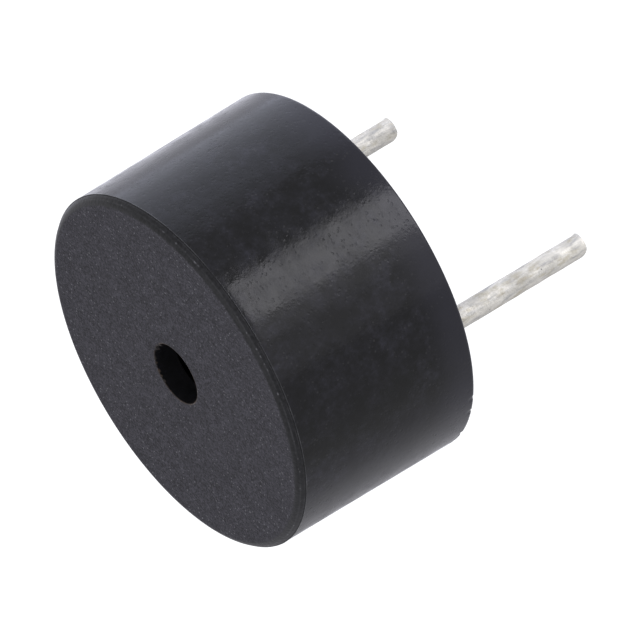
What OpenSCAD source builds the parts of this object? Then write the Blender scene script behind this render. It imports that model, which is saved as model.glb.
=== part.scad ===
// Magnetic buzzer for through-hole mounting, in millimetres.
// Z = 0 is the seating plane, the flat rim of the open base.
// The sound port faces +Z and the pins point to -Z.

/* [Housing] */
// Outer diameter at the base rim
body_d = 12; // [11.2:0.1:16]
// Height of the housing, rim to face
body_h = 6.6; // [5.5:0.1:12]
// Side wall thickness at the base rim
wall = 0.7; // [0.5:0.05:0.9]
// Front wall thickness
front_wall = 0.8; // [0.5:0.05:1.2]
// Mould draft of the outer wall, in degrees
draft = 0.5; // [0:0.1:1.5]
// Radius of the rolled front edge
edge_r = 0.35; // [0.25:0.05:0.5]
// Depth of the rolled front edge below the face, down to the mould's parting line
edge_depth = 0.23; // [0.1:0.01:0.25]
// Step at the mould's parting line
parting_step = 0.02; // [0.01:0.01:0.05]
// Round of the outer edge at the base rim
rim_round = 0.1; // [0.05:0.05:0.2]
// Lead-in chamfer inside the base rim
rim_lead_in = 0.12; // [0.05:0.01:0.2]
// Diameter of the sound port
port_d = 2; // [1:0.1:3]
// Round of the sound port's outer mouth
port_round = 0.05; // [0.02:0.01:0.15]
// Height of the air space between the inner shoulder and the front wall
front_air = 0.65; // [0.5:0.05:1]
// Width of the inner shoulder over the support ring
shoulder_w = 0.6; // [0.45:0.05:0.8]
// Round between the front wall and the side of the air space
corner_round = 0.3; // [0.1:0.05:0.4]

/* [Pins] */
// Diameter of the pins' free legs
pin_d = 0.7; // [0.5:0.05:0.75]
// Diameter of the pins' thicker roots, inside the base
root_d = 0.8; // [0.8:0.02:0.9]
// Distance between the pins
pin_pitch = 7.6; // [6.3:0.1:8]
// Length of the positive pin below the seating plane
positive_len = 5.8; // [3:0.1:12]
// Length of the negative pin below the seating plane
negative_len = 4.7; // [3:0.1:12]
// Bevel round a pin's end
pin_bevel = 0.03; // [0.02:0.01:0.1]
// Round on the side of a pin's end where the cropping blade went in
crop_round = 0.2; // [0.05:0.05:0.25]
// Direction of that side, in degrees from +X towards +Y
crop_heading = -40; // [-180:10:180]
// Diameter of the flat pin head above the board
pin_head_d = 1.1; // [0.9:0.05:1.3]
// Thickness of the pin head
pin_head_t = 0.25; // [0.15:0.05:0.4]
// Radial gap round a pin head in the yoke plate, which keeps it insulated
head_gap = 0.2; // [0.1:0.05:0.3]

/* [Base] */
// Depth of the resin's surface inside the rim
seal_recess = 0.25; // [0.25:0.01:0.4]
// Thickness of the resin under the board
seal_t = 0.6; // [0.55:0.05:0.9]
// Height to which the resin creeps along the wall and the pins
meniscus = 0.1; // [0.05:0.01:0.12]
// Thickness of the circuit board
board_t = 0.6; // [0.4:0.1:1]
// Diameter of a copper pad
pad_d = 1.7; // [1.4:0.05:1.8]
// Thickness of a copper pad
pad_t = 0.04; // [0.02:0.01:0.07]
// Height of a solder joint
solder_h = 0.42; // [0.3:0.01:0.45]
// Diameter of the holes for the coil's leads in the board and the yoke plate
lead_hole_d = 0.4; // [0.3:0.05:0.5]

/* [Magnetic drive] */
// Thickness of the yoke plate
yoke_t = 0.8; // [0.5:0.05:1]
// Diameter of the core above its shoulder
core_d = 2.6; // [2:0.1:3]
// Diameter of the core's shank in the yoke plate
shank_d = 1.8; // [1.2:0.1:1.9]
// Depth of the countersink that the shank is riveted into
rivet_depth = 0.25; // [0.1:0.05:0.4]
// Gap between the core's top and the diaphragm
air_gap = 0.35; // [0.2:0.05:0.5]
// Radial thickness of the ring magnet
magnet_wall = 1.3; // [0.9:0.1:1.5]
// Bevel of the ring magnet's edges
magnet_bevel = 0.12; // [0.05:0.01:0.25]
// How far the magnet's top stays below the core's top
magnet_drop = 0.4; // [0.2:0.05:0.6]
// Thickness of the bobbin's flanges
flange_t = 0.2; // [0.1:0.02:0.3]
// Thickness of the bobbin's barrel
barrel_t = 0.2; // [0.1:0.02:0.3]
// How far the winding stays inside the flanges
winding_margin = 0.15; // [0.12:0.01:0.2]
// Diameter of the enamelled wire
wire_d = 0.1; // [0.08:0.01:0.12]

/* [Diaphragm] */
// Thickness of the diaphragm
diaphragm_t = 0.08; // [0.05:0.01:0.12]
// Free play of the diaphragm under the housing's shoulder
diaphragm_play = 0.1; // [0.05:0.01:0.15]
// Diameter of the iron weight on the diaphragm
weight_d = 3.2; // [2.5:0.1:4]
// Thickness of the iron weight
weight_t = 0.25; // [0.15:0.05:0.35]
// Diameter of the spot weld's dimple in the weight
weld_d = 0.6; // [0.3:0.1:1]
// Depth of that dimple
weld_depth = 0.05; // [0.02:0.01:0.1]
// Wall thickness of the support ring
ring_wall = 0.55; // [0.5:0.05:0.7]
// Width of the support ring's rim round the diaphragm
ring_rim = 0.3; // [0.2:0.05:0.35]
// How far the support ring's lip reaches inside its wall
lip_w = 0.4; // [0.3:0.05:0.5]
// Thickness of the support ring's lip
lip_t = 0.35; // [0.2:0.05:0.5]

/* [Fits] */
// Radial gap between parts that slide together on assembly
slide_gap = 0.03; // [0.02:0.01:0.05]
// Radial gap round the coil, the magnet and the diaphragm
free_gap = 0.05; // [0.03:0.01:0.08]

/* [Hidden] */
$fn = 96;
cut = 0.5;            // how far a cutting tool reaches past a face

// Heights, from the seating plane up
board_z = seal_recess + seal_t;
yoke_z = board_z + board_t;
drive_z = yoke_z + yoke_t;
shoulder_z = body_h - front_wall - front_air;
diaphragm_z = shoulder_z - diaphragm_play - diaphragm_t;
core_top = diaphragm_z - air_gap;
magnet_top = core_top - magnet_drop;
bobbin_top = core_top - magnet_drop / 2;
parting_z = body_h - edge_depth;

// Radii, from the housing's wall inwards
body_r = body_d / 2;
bore_r = body_r - wall;
parting_r = body_r - parting_z * tan(draft);
edge_reach = sqrt(pow(edge_r, 2) - pow(edge_r - edge_depth, 2));
edge_x = parting_r - parting_step - edge_reach;
cavity_r = bore_r - shoulder_w;
ring_r = bore_r - slide_gap;
magnet_r = ring_r - ring_wall - free_gap;
magnet_bore_r = magnet_r - magnet_wall;
flange_r = magnet_bore_r - free_gap;
winding_r = flange_r - winding_margin;
barrel_r = core_d / 2 + slide_gap + barrel_t;
diaphragm_r = ring_r - ring_rim - free_gap;
pin_r = pin_d / 2;
root_r = root_d / 2;
pin_x = pin_pitch / 2;
wire_r = wire_d / 2;

// The coil's leads leave the winding's rim, pass the board and run under it to the pins
lead_y = winding_r - wire_r / 2;
lead_bend_r = 3 * wire_r;
lead_run_z = board_z - pad_t - slide_gap - wire_r;
lead_end_gap = 0.1;   // solder left between a lead's end and its pin

// A washer or a disc standing on height z
module disc(r, z, t, hole_r = 0) {
    translate([0, 0, z])
        difference() {
            cylinder(r = r, h = t);
            if (hole_r > 0)
                translate([0, 0, -cut]) cylinder(r = hole_r, h = t + 2 * cut);
        }
}

// Cutting tools at both pins and at both of the coil's leads
module at_pins() {
    for (side = [-1, 1]) translate([side * pin_x, 0, 0]) children();
}

module at_leads() {
    for (side = [-1, 1]) translate([0, side * lead_y, 0]) children();
}

module drill(r, z, t) {
    translate([0, 0, z - cut]) cylinder(r = r, h = t + 2 * cut);
}

// Half section of the housing's outside: drafted wall, parting step and rolled front edge
module housing_outside() {
    difference() {
        union() {
            polygon([[0, 0], [body_r, 0], [parting_r, parting_z], [0, parting_z]]);
            square([edge_x, body_h]);
            intersection() {
                translate([edge_x, body_h - edge_r]) circle(edge_r);
                translate([0, parting_z]) square([body_r, edge_depth]);
            }
        }
        // round of the base rim
        difference() {
            translate([body_r - rim_round, -cut]) square([2 * rim_round, rim_round + cut]);
            translate([body_r - rim_round, rim_round]) circle(rim_round);
        }
    }
}

// Half section of its inside: lead-in, bore, shoulder, air space and sound port
module housing_inside() {
    polygon([
        [0, -cut], [bore_r + rim_lead_in + cut, -cut], [bore_r, rim_lead_in],
        [bore_r, shoulder_z], [0, shoulder_z],
    ]);
    square([cavity_r - corner_round, body_h - front_wall]);
    square([cavity_r, body_h - front_wall - corner_round]);
    translate([cavity_r - corner_round, body_h - front_wall - corner_round]) circle(corner_round);
    square([port_d / 2, body_h + cut]);
    difference() {
        translate([0, body_h - port_round]) square([port_d / 2 + port_round, port_round + cut]);
        translate([port_d / 2 + port_round, body_h - port_round]) circle(port_round);
    }
}

module housing() {
    color("#232428")
        rotate_extrude()
            difference() {
                housing_outside();
                housing_inside();
            }
}

module diaphragm() {
    color("#b9b4a4") disc(diaphragm_r, diaphragm_z, diaphragm_t);
}

module diaphragm_weight() {
    low = diaphragm_z + diaphragm_t;
    color("#8d8f93")
        difference() {
            disc(weight_d / 2, low, weight_t);
            disc(weld_d / 2, low + weight_t - weld_depth, weld_depth + cut);
        }
}

// Carries the diaphragm's edge on its lip and the housing's shoulder on its rim
module support_ring() {
    color("#d8d2bf")
        rotate_extrude()
            polygon([
                [ring_r - ring_wall, drive_z], [ring_r, drive_z], [ring_r, shoulder_z],
                [ring_r - ring_rim, shoulder_z], [ring_r - ring_rim, diaphragm_z],
                [ring_r - ring_wall - lip_w, diaphragm_z], [ring_r - ring_wall - lip_w, diaphragm_z - lip_t],
                [ring_r - ring_wall, diaphragm_z - lip_t],
            ]);
}

// Pressed ring, its two faces bevelled at both edges
module ring_magnet() {
    bevel = magnet_bevel;
    color("#3c3a3d")
        rotate_extrude()
            polygon([
                [magnet_bore_r + bevel, drive_z], [magnet_r - bevel, drive_z],
                [magnet_r, drive_z + bevel], [magnet_r, magnet_top - bevel],
                [magnet_r - bevel, magnet_top], [magnet_bore_r + bevel, magnet_top],
                [magnet_bore_r, magnet_top - bevel], [magnet_bore_r, drive_z + bevel],
            ]);
}

// Shank through the yoke plate, riveted over in the countersink below
module core_shank() {
    translate([0, 0, yoke_z]) {
        cylinder(d = shank_d, h = yoke_t);
        cylinder(r1 = shank_d / 2 + rivet_depth, r2 = shank_d / 2, h = rivet_depth);
    }
}

module core_pole() {
    bevel = flange_t / 2;
    color("#9a9ca0")
        union() {
            core_shank();
            translate([0, 0, drive_z]) cylinder(d = core_d, h = core_top - drive_z - bevel);
            translate([0, 0, core_top - bevel]) cylinder(r1 = core_d / 2, r2 = core_d / 2 - bevel, h = bevel);
        }
}

// Spool on the core, its lower flange notched where the leads go down
module coil_bobbin() {
    color("#e6e1d2")
        difference() {
            union() {
                disc(flange_r, drive_z, flange_t);
                disc(barrel_r, drive_z, bobbin_top - drive_z);
                disc(flange_r, bobbin_top - flange_t, flange_t);
            }
            drill(core_d / 2 + slide_gap, drive_z, bobbin_top - drive_z);
            at_leads() drill(wire_d, drive_z, flange_t / 2);
            for (side = [-1, 1])
                translate([-wire_d, side * (lead_y + cut / 2) - cut / 2, drive_z - cut])
                    cube([2 * wire_d, cut, flange_t + cut]);
        }
}

// Layer-wound coil: every turn of the outer layer shows as a ridge
module winding() {
    low = drive_z + flange_t;
    high = bobbin_top - flange_t;
    turns = floor((high - low) / wire_d);
    pitch = (high - low) / turns;
    rotate_extrude() {
        translate([barrel_r, low]) square([winding_r - wire_r - barrel_r, high - low]);
        for (turn = [0 : turns - 1])
            translate([winding_r - wire_r, low + (turn + 0.5) * pitch]) circle(wire_r);
    }
}

// One lead: down past the flange, the yoke plate and the board, round a bend and along to its pin
module lead() {
    top = drive_z + flange_t + 2 * wire_d;
    bend_z = lead_run_z + lead_bend_r;
    heading = atan2(-lead_y, pin_x);
    run = norm([pin_x, lead_y]) - lead_bend_r - root_r - lead_end_gap;
    translate([0, lead_y, 0])
        rotate([0, 0, heading]) {
            translate([0, 0, bend_z]) cylinder(r = wire_r, h = top - bend_z);
            translate([lead_bend_r, 0, bend_z])
                rotate([-90, 0, 180])
                    rotate_extrude(angle = 90) translate([lead_bend_r, 0]) circle(wire_r);
            translate([lead_bend_r, 0, lead_run_z]) rotate([0, 90, 0]) cylinder(r = wire_r, h = run);
        }
}

module leads() {
    lead();
    rotate([0, 0, 180]) lead();
}

module coil_winding() {
    color("#b4622c")
        union() {
            winding();
            leads();
        }
}

module yoke_plate() {
    color("#a7a9ac")
        difference() {
            disc(ring_r, yoke_z, yoke_t);
            core_shank();
            at_pins() drill(pin_head_d / 2 + head_gap, yoke_z, yoke_t);
            at_leads() drill(lead_hole_d / 2, yoke_z, yoke_t);
        }
}

module circuit_board() {
    color("#8f7a3a")
        difference() {
            disc(ring_r, board_z, board_t);
            at_pins() drill(root_r + slide_gap, board_z, board_t);
            at_leads() drill(lead_hole_d / 2, board_z, board_t);
        }
}

module pad(side) {
    color("#c0713a")
        translate([side * pin_x, 0, 0]) disc(pad_d / 2, board_z - pad_t, pad_t, root_r + slide_gap);
}

// Rolled corner that a cropping blade leaves on one side of a wire's end
module crop_corner() {
    rotate([0, 0, crop_heading])
        translate([0, pin_d, 0])
            rotate([90, 0, 0])
                linear_extrude(2 * pin_d)
                    difference() {
                        translate([pin_r - crop_round, -cut]) square(crop_round + cut);
                        translate([pin_r - crop_round, crop_round]) circle(crop_round);
                    }
}

// Round pin: cropped free leg, thicker root from the resin's surface up, and flat head on the board
module pin(side, length) {
    color("#c9c8c4")
        translate([side * pin_x, 0, 0])
            difference() {
                rotate_extrude()
                    polygon([
                        [0, -length], [pin_r - pin_bevel, -length], [pin_r, pin_bevel - length],
                        [pin_r, seal_recess], [root_r, seal_recess], [root_r, yoke_z],
                        [pin_head_d / 2, yoke_z], [pin_head_d / 2, yoke_z + pin_head_t],
                        [0, yoke_z + pin_head_t],
                    ]);
                translate([0, 0, -length]) crop_corner();
            }
}

// Concave fillet of solder between a pad and its pin
module solder_cone(side) {
    reach = pad_d / 2 - free_gap - root_r;
    translate([side * pin_x, 0, board_z - pad_t - solder_h])
        rotate_extrude()
            difference() {
                translate([root_r, 0]) square([reach, solder_h]);
                translate([root_r + reach, 0]) circle(min(reach, solder_h) - free_gap);
            }
}

module solder(side) {
    color("#b7b9bb")
        difference() {
            solder_cone(side);
            leads();
        }
}

// Section of the resin's meniscus against a wall at radius r, reach wide on the side that hand gives.
// Its arc runs out flat into the resin's surface.
module meniscus_section(r, hand, reach) {
    arc_r = (pow(reach, 2) + pow(meniscus, 2)) / (2 * meniscus);
    difference() {
        translate([r + (hand - 1) / 2 * reach, seal_recess - meniscus])
            square([reach, meniscus + seal_t / 2]);
        translate([r + hand * reach, seal_recess - arc_r]) circle(arc_r);
    }
}

// Resin cast round the pins, the joints and the leads
module base_seal() {
    color("#17171a")
        difference() {
            union() {
                disc(bore_r, seal_recess, seal_t);
                rotate_extrude() meniscus_section(bore_r, -1, meniscus);
                at_pins() rotate_extrude() meniscus_section(pin_r, 1, root_r - pin_r + meniscus);
            }
            at_pins() {
                translate([0, 0, seal_recess]) cylinder(r = root_r, h = seal_t + cut);
                disc(pad_d / 2, board_z - pad_t, pad_t + cut);
            }
            for (side = [-1, 1]) solder_cone(side);
            leads();
        }
}

housing();
diaphragm();
diaphragm_weight();
support_ring();
ring_magnet();
core_pole();
coil_bobbin();
coil_winding();
yoke_plate();
circuit_board();
pad(1);  // positive_pad
pad(-1);  // negative_pad
pin(1, positive_len);  // positive_pin
pin(-1, negative_len);  // negative_pin
solder(1);  // positive_solder
solder(-1);  // negative_solder
base_seal();
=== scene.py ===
import math

import bmesh
import bpy
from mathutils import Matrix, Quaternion, Vector, geometry, noise


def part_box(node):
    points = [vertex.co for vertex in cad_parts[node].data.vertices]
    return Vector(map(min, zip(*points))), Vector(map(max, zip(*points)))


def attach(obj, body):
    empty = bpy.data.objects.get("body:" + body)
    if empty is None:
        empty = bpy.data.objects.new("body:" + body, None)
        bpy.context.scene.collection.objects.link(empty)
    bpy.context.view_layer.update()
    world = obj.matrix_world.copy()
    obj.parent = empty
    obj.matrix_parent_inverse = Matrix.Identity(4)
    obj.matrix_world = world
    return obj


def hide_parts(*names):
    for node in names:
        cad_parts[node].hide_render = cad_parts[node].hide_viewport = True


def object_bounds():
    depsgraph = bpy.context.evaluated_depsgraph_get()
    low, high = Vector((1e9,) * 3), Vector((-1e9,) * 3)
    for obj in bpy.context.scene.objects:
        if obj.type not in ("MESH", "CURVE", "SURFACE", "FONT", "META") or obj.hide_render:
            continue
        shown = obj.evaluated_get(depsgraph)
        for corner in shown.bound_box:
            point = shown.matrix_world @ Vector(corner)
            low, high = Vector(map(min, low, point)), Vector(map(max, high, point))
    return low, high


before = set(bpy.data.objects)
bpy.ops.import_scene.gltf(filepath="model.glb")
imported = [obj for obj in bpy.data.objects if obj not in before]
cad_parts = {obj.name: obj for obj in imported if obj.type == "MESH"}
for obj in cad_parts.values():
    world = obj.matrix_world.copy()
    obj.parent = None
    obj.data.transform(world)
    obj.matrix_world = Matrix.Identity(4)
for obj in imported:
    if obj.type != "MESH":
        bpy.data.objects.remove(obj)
cadLow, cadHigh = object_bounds()
scene = bpy.context.scene
mm = 0.001
print("frame loaded,", len(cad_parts), "nodes")


# Unit vector at a bearing, from +X towards +Y, and an elevation, in degrees
def towards(bearing, elevation):
    flat = math.cos(math.radians(elevation))
    return Vector((
        flat * math.cos(math.radians(bearing)),
        flat * math.sin(math.radians(bearing)),
        math.sin(math.radians(elevation)),
    ))


# Camera: in front of the face and low over it, rolled so that the pins point up to the right
cameraLook = {
    "bearing": 50.45,
    "elevation": 24.3,
    "roll": -121.3,
    "lens": 1600,               # long, so that the sides stay parallel
    "distance": 842.2,          # mm
    "aim": (4.31, 1.62),        # mm right of the middle of the face and over it, in the view
    "nearest": 0.01,            # metres
    "farthest": 10.0,
}


def makeCamera(look):
    back = towards(look["bearing"], look["elevation"])
    upright = (-back).to_track_quat("-Z", "Y")
    turned = upright @ Quaternion((0, 0, 1), math.radians(look["roll"]))
    right, over = look["aim"]
    aim = Vector((0, 0, cadHigh.z)) + turned @ Vector((right, over, 0)) * mm
    camera = bpy.data.objects.new("camera", bpy.data.cameras.new("camera"))
    camera.data.lens = look["lens"]
    camera.data.clip_start = look["nearest"]
    camera.data.clip_end = look["farthest"]
    camera.rotation_mode = "QUATERNION"
    camera.rotation_quaternion = turned
    camera.location = aim + back * look["distance"] * mm
    scene.collection.objects.link(camera)
    scene.camera = camera


makeCamera(cameraLook)
scene.view_settings.view_transform = "Standard"
print("camera set")


# Adds a shader node; inputs takes values or the sockets to link, by name or number
def addNode(tree, kind, inputs=None, **settings):
    node = tree.nodes.new(kind)
    for name, value in settings.items():
        setattr(node, name, value)
    for key, value in (inputs or {}).items():
        if isinstance(value, bpy.types.NodeSocket):
            tree.links.new(value, node.inputs[key])
        else:
            node.inputs[key].default_value = value
    return node


def addGroup(tree, group, inputs):
    return addNode(tree, "ShaderNodeGroup", inputs, node_tree=group).outputs


def mathNode(tree, operation, a, b=0.0, clamp=False):
    return addNode(tree, "ShaderNodeMath", {0: a, 1: b}, operation=operation, use_clamp=clamp).outputs[0]


def times(tree, a, b):
    return mathNode(tree, "MULTIPLY", a, b)


def plus(tree, a, b, clamp=False):
    return mathNode(tree, "ADD", a, b, clamp)


# Sockets 6 and 7 are the Mix node's two colours, and 2 the colour that it gives
def mixColours(tree, factor, first, second):
    inputs = {0: factor, 6: first, 7: second}
    return addNode(tree, "ShaderNodeMix", inputs, data_type="RGBA").outputs[2]


# A value from one range put into another, and kept inside it
def rescale(tree, value, fromLow, fromHigh, toLow=0.0, toHigh=1.0, smooth=False):
    kind = "SMOOTHSTEP" if smooth else "LINEAR"
    inputs = {0: value, 1: fromLow, 2: fromHigh, 3: toLow, 4: toHigh}
    return addNode(tree, "ShaderNodeMapRange", inputs, interpolation_type=kind).outputs[0]


# A share from 0 to 1 put between two values
def between(tree, share, low, high):
    return rescale(tree, share, 0.0, 1.0, low, high)


def noiseNode(tree, position, scale, detail=2.0, roughness=0.5):
    inputs = {"Vector": position, "Scale": scale, "Detail": detail, "Roughness": roughness}
    return addNode(tree, "ShaderNodeTexNoise", inputs).outputs["Fac"]


# Stage: a white tent with a floor under it
stageLook = {
    "floorDrop": 20.0,          # mm below the pins
    "floorSize": 6000.0,        # mm
    "floorShade": 0.45,         # the part of the floor's white that takes a shadow
    "roomLight": 0.75,          # what the tent gives matt surfaces
    "roomColour": (0.97, 0.98, 1.03, 1),
    "lampColour": (0.975, 0.965, 1.02),
    "cardPlace": (246, -14),    # grey card behind, which draws the part's edges darker in its gloss
    "cardDistance": 150.0,      # mm
    "cardSize": (700.0, 600.0),
    "cardShade": 0.62,
    "cardCore": 0.37,           # share of the card over which it goes grey
    "cardTint": (0.94, 0.935, 1.0, 1),
    "cardEdge": 0.7,            # share of the card from which its tint fades to white
}

# Softboxes: bearing and elevation, distance and size in mm, and how bright their faces are
softboxes = {
    "streakBox": dict(place=(64.8, -34), distance=130, size=(55.5, 84), light=5.3),
    "nearFade": dict(place=(45.5, -28), distance=130, size=(23, 80), light=1.2),
    "farFade": dict(place=(28.5, -28), distance=130, size=(54, 80), light=0.55),
    "leftPanel": dict(place=(154, -26), distance=120, size=(108, 110), light=0.9, colour=(0.88, 0.94, 1.2)),
    "leftFade": dict(place=(122, -26), distance=120, size=(30, 110), light=0.55, colour=(0.88, 0.94, 1.2)),
    "rearPanel": dict(place=(209, -26), distance=120, size=(130, 110), light=0.3, colour=(0.95, 0.98, 1.2)),
    "topPanel": dict(place=(70, 84), distance=150, size=(90, 90), light=1.6),
}


# A flat sheet that some kinds of ray don't see
def makeSheet(name, width, height, unseenBy):
    mesh = bpy.data.meshes.new(name)
    corners = ((-1, -1), (1, -1), (1, 1), (-1, 1))
    mesh.from_pydata([(x * width * mm / 2, y * height * mm / 2, 0) for x, y in corners], [], [(0, 1, 2, 3)])
    sheet = bpy.data.objects.new(name, mesh)
    for ray in unseenBy:
        setattr(sheet, "visible_" + ray, False)
    scene.collection.objects.link(sheet)
    return sheet


# Puts a thing on one side of the part, with its face to it
def turnToPart(thing, place, distance):
    direction = towards(*place)
    thing.rotation_mode = "QUATERNION"
    thing.location = (cadLow + cadHigh) / 2 + direction * distance * mm
    thing.rotation_quaternion = direction.to_track_quat("Z", "Y")


def emptyMaterial(name):
    material = bpy.data.materials.new(name)
    material.use_nodes = True
    material.node_tree.nodes.clear()
    return material, material.node_tree


# Paper that glows white and takes the part's shadow; nothing of it shows from below
def makeFloor(look):
    size = look["floorSize"]
    floor = makeSheet("floor", size, size, ("diffuse", "glossy", "transmission", "shadow"))
    floor.location.z = cadLow.z - look["floorDrop"] * mm
    material, tree = emptyMaterial("floorPaper")
    shade = look["floorShade"]
    paper = addNode(tree, "ShaderNodeBsdfDiffuse", {"Color": (shade, shade, shade, 1)})
    glow = addNode(tree, "ShaderNodeEmission", {"Strength": 1 - shade / 2})
    lit = addNode(tree, "ShaderNodeAddShader", {0: paper.outputs[0], 1: glow.outputs[0]})
    clear = addNode(tree, "ShaderNodeBsdfTransparent")
    under = addNode(tree, "ShaderNodeNewGeometry").outputs["Backfacing"]
    mix = addNode(tree, "ShaderNodeMixShader", {0: under, 1: lit.outputs[0], 2: clear.outputs[0]})
    addNode(tree, "ShaderNodeOutputMaterial", {"Surface": mix.outputs[0]})
    floor.data.materials.append(material)


# White where the camera and reflections look, dimmer for matt surfaces
def makeRoom(look):
    world = bpy.data.worlds.new("room")
    world.use_nodes = True
    tree = world.node_tree
    tree.nodes.clear()
    room = addNode(tree, "ShaderNodeBackground", {"Color": look["roomColour"], "Strength": look["roomLight"]})
    white = addNode(tree, "ShaderNodeBackground", {"Color": (1, 1, 1, 1)})
    path = addNode(tree, "ShaderNodeLightPath").outputs
    mirrored = mathNode(tree, "MAXIMUM", path["Is Glossy Ray"], path["Is Transmission Ray"])
    seen = mathNode(tree, "MAXIMUM", path["Is Camera Ray"], mirrored)
    mix = addNode(tree, "ShaderNodeMixShader", {0: seen, 1: room.outputs[0], 2: white.outputs[0]})
    addNode(tree, "ShaderNodeOutputWorld", {"Surface": mix.outputs[0]})
    scene.world = world


def makeSoftbox(name, place, distance, size, light, colour=stageLook["lampColour"]):
    lamp = bpy.data.lights.new(name, "AREA")
    lamp.shape = "RECTANGLE"
    lamp.size = size[0] * mm
    lamp.size_y = size[1] * mm
    lamp.energy = 4 * light * lamp.size * lamp.size_y      # so that its face shines with that strength
    lamp.color = colour
    softbox = bpy.data.objects.new(name, lamp)
    turnToPart(softbox, place, distance)
    softbox.visible_camera = False
    scene.collection.objects.link(softbox)


# A card that only reflections see, white at its edges, tinted inside and grey in its middle
def makeCard(look):
    width, height = look["cardSize"]
    card = makeSheet("greyCard", width, height, ("camera", "diffuse", "transmission", "shadow"))
    turnToPart(card, look["cardPlace"], look["cardDistance"])
    material, tree = emptyMaterial("greyCard")
    spot = addNode(tree, "ShaderNodeTexCoord").outputs["Object"]
    share = addNode(tree, "ShaderNodeVectorMath", {0: spot, 1: (2 / width / mm, 2 / height / mm, 0)},
                    operation="MULTIPLY").outputs[0]
    away = addNode(tree, "ShaderNodeVectorMath", {0: share}, operation="LENGTH").outputs["Value"]
    strength = rescale(tree, away, 0.0, look["cardCore"], look["cardShade"], 1.0, smooth=True)
    colour = mixColours(tree, rescale(tree, away, look["cardEdge"], 1.0), look["cardTint"], (1, 1, 1, 1))
    glow = addNode(tree, "ShaderNodeEmission", {"Color": colour, "Strength": strength})
    addNode(tree, "ShaderNodeOutputMaterial", {"Surface": glow.outputs[0]})
    card.data.materials.append(material)


makeFloor(stageLook)
makeCard(stageLook)
makeRoom(stageLook)
for name, box in softboxes.items():
    makeSoftbox(name, **box)
print("stage set")


# Shader node groups: what more than one finish uses
floatSocket = "NodeSocketFloat"
vectorSocket = "NodeSocketVector"


def startGroup(name, inputs, outputs):
    group = bpy.data.node_groups.new(name, "ShaderNodeTree")
    for label, kind, value in inputs:
        socket = group.interface.new_socket(label, in_out="INPUT", socket_type=kind)
        if value is not None:
            socket.default_value = value
    for label in outputs:
        group.interface.new_socket(label, in_out="OUTPUT", socket_type=floatSocket)
    return group, addNode(group, "NodeGroupInput").outputs


# Fine grain of a mould, a casting or a plating, from 0 to 1 and even all over
def makeGrainGroup():
    inputs = [("Position", vectorSocket, None), ("Size", floatSocket, 0.1)]
    group, given = startGroup("fine grain", inputs, ["Grain"])
    scale = mathNode(group, "DIVIDE", 1.0, given["Size"])
    fine = noiseNode(group, given["Position"], scale, 2.0, 0.6)
    addNode(group, "NodeGroupOutput", {"Grain": rescale(group, fine, 0.3, 0.7)})
    return group


# Round dots scattered at random: specks of dust or bright grain, or pits
def makeDotsGroup():
    inputs = [
        ("Position", vectorSocket, None), ("Spacing", floatSocket, 0.2),
        ("Share", floatSocket, 0.1), ("Radius", floatSocket, 0.04),
    ]
    group, given = startGroup("scattered dots", inputs, ["Dots"])
    scale = mathNode(group, "DIVIDE", 1.0, given["Spacing"])
    uneven = noiseNode(group, given["Position"], times(group, scale, 1.7), 2.0)
    cells = addNode(group, "ShaderNodeTexVoronoi", {"Vector": given["Position"], "Scale": scale}).outputs
    chance = addNode(group, "ShaderNodeSeparateColor", {0: cells["Color"]}).outputs
    picked = mathNode(group, "LESS_THAN", chance["Green"], given["Share"])
    away = times(group, cells["Distance"], given["Spacing"])
    bent = times(group, away, plus(group, uneven, 0.5))
    own = times(group, given["Radius"], between(group, chance["Blue"], 0.5, 1.0))
    inner = times(group, own, 0.5)
    dot = rescale(group, bent, inner, own, 1.0, 0.0, smooth=True)
    addNode(group, "NodeGroupOutput", {"Dots": times(group, picked, dot)})
    return group


# Cloudy unevenness, from 0 to 1
def makeCloudGroup():
    inputs = [("Position", vectorSocket, None), ("Size", floatSocket, 1.0)]
    group, given = startGroup("clouds", inputs, ["Clouds"])
    scale = mathNode(group, "DIVIDE", 1.0, given["Size"])
    cloud = noiseNode(group, given["Position"], scale, 4.0, 0.6)
    addNode(group, "NodeGroupOutput", {"Clouds": rescale(group, cloud, 0.35, 0.65)})
    return group


# Where a point is round the part's axis: its distance from it and its height, in mm
def makePlaceGroup():
    group, given = startGroup("place on the part", [("Position", vectorSocket, None)], ["Radius", "Height"])
    parts = addNode(group, "ShaderNodeSeparateXYZ", {0: given["Position"]}).outputs
    flat = addNode(group, "ShaderNodeCombineXYZ", {0: parts[0], 1: parts[1]}).outputs[0]
    radius = addNode(group, "ShaderNodeVectorMath", {0: flat}, operation="LENGTH").outputs["Value"]
    addNode(group, "NodeGroupOutput", {"Radius": radius, "Height": parts[2]})
    return group


# A narrow ragged line where a value passes a level, such as the painted highlight lines along the housing's
# edges
def makeLineGroup():
    inputs = [
        ("Position", vectorSocket, None), ("Value", floatSocket, 0.0), ("Level", floatSocket, 0.0),
        ("Width", floatSocket, 0.05), ("Gaps", floatSocket, 0.3),
    ]
    group, given = startGroup("ragged line", inputs, ["Line"])
    offset = mathNode(group, "SUBTRACT", given["Value"], given["Level"])
    near = mathNode(group, "ABSOLUTE", offset)
    inside = mathNode(group, "DIVIDE", near, given["Width"])
    line = rescale(group, inside, 0.3, 1.0, 1.0, 0.0, smooth=True)
    patches = noiseNode(group, given["Position"], 2.6, 5.0, 0.75)
    shown = rescale(group, mathNode(group, "SUBTRACT", patches, given["Gaps"]), 0.0, 0.3)
    addNode(group, "NodeGroupOutput", {"Line": times(group, line, shown)})
    return group


grainGroup = makeGrainGroup()
dotsGroup = makeDotsGroup()
cloudGroup = makeCloudGroup()
placeGroup = makePlaceGroup()
lineGroup = makeLineGroup()


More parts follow.
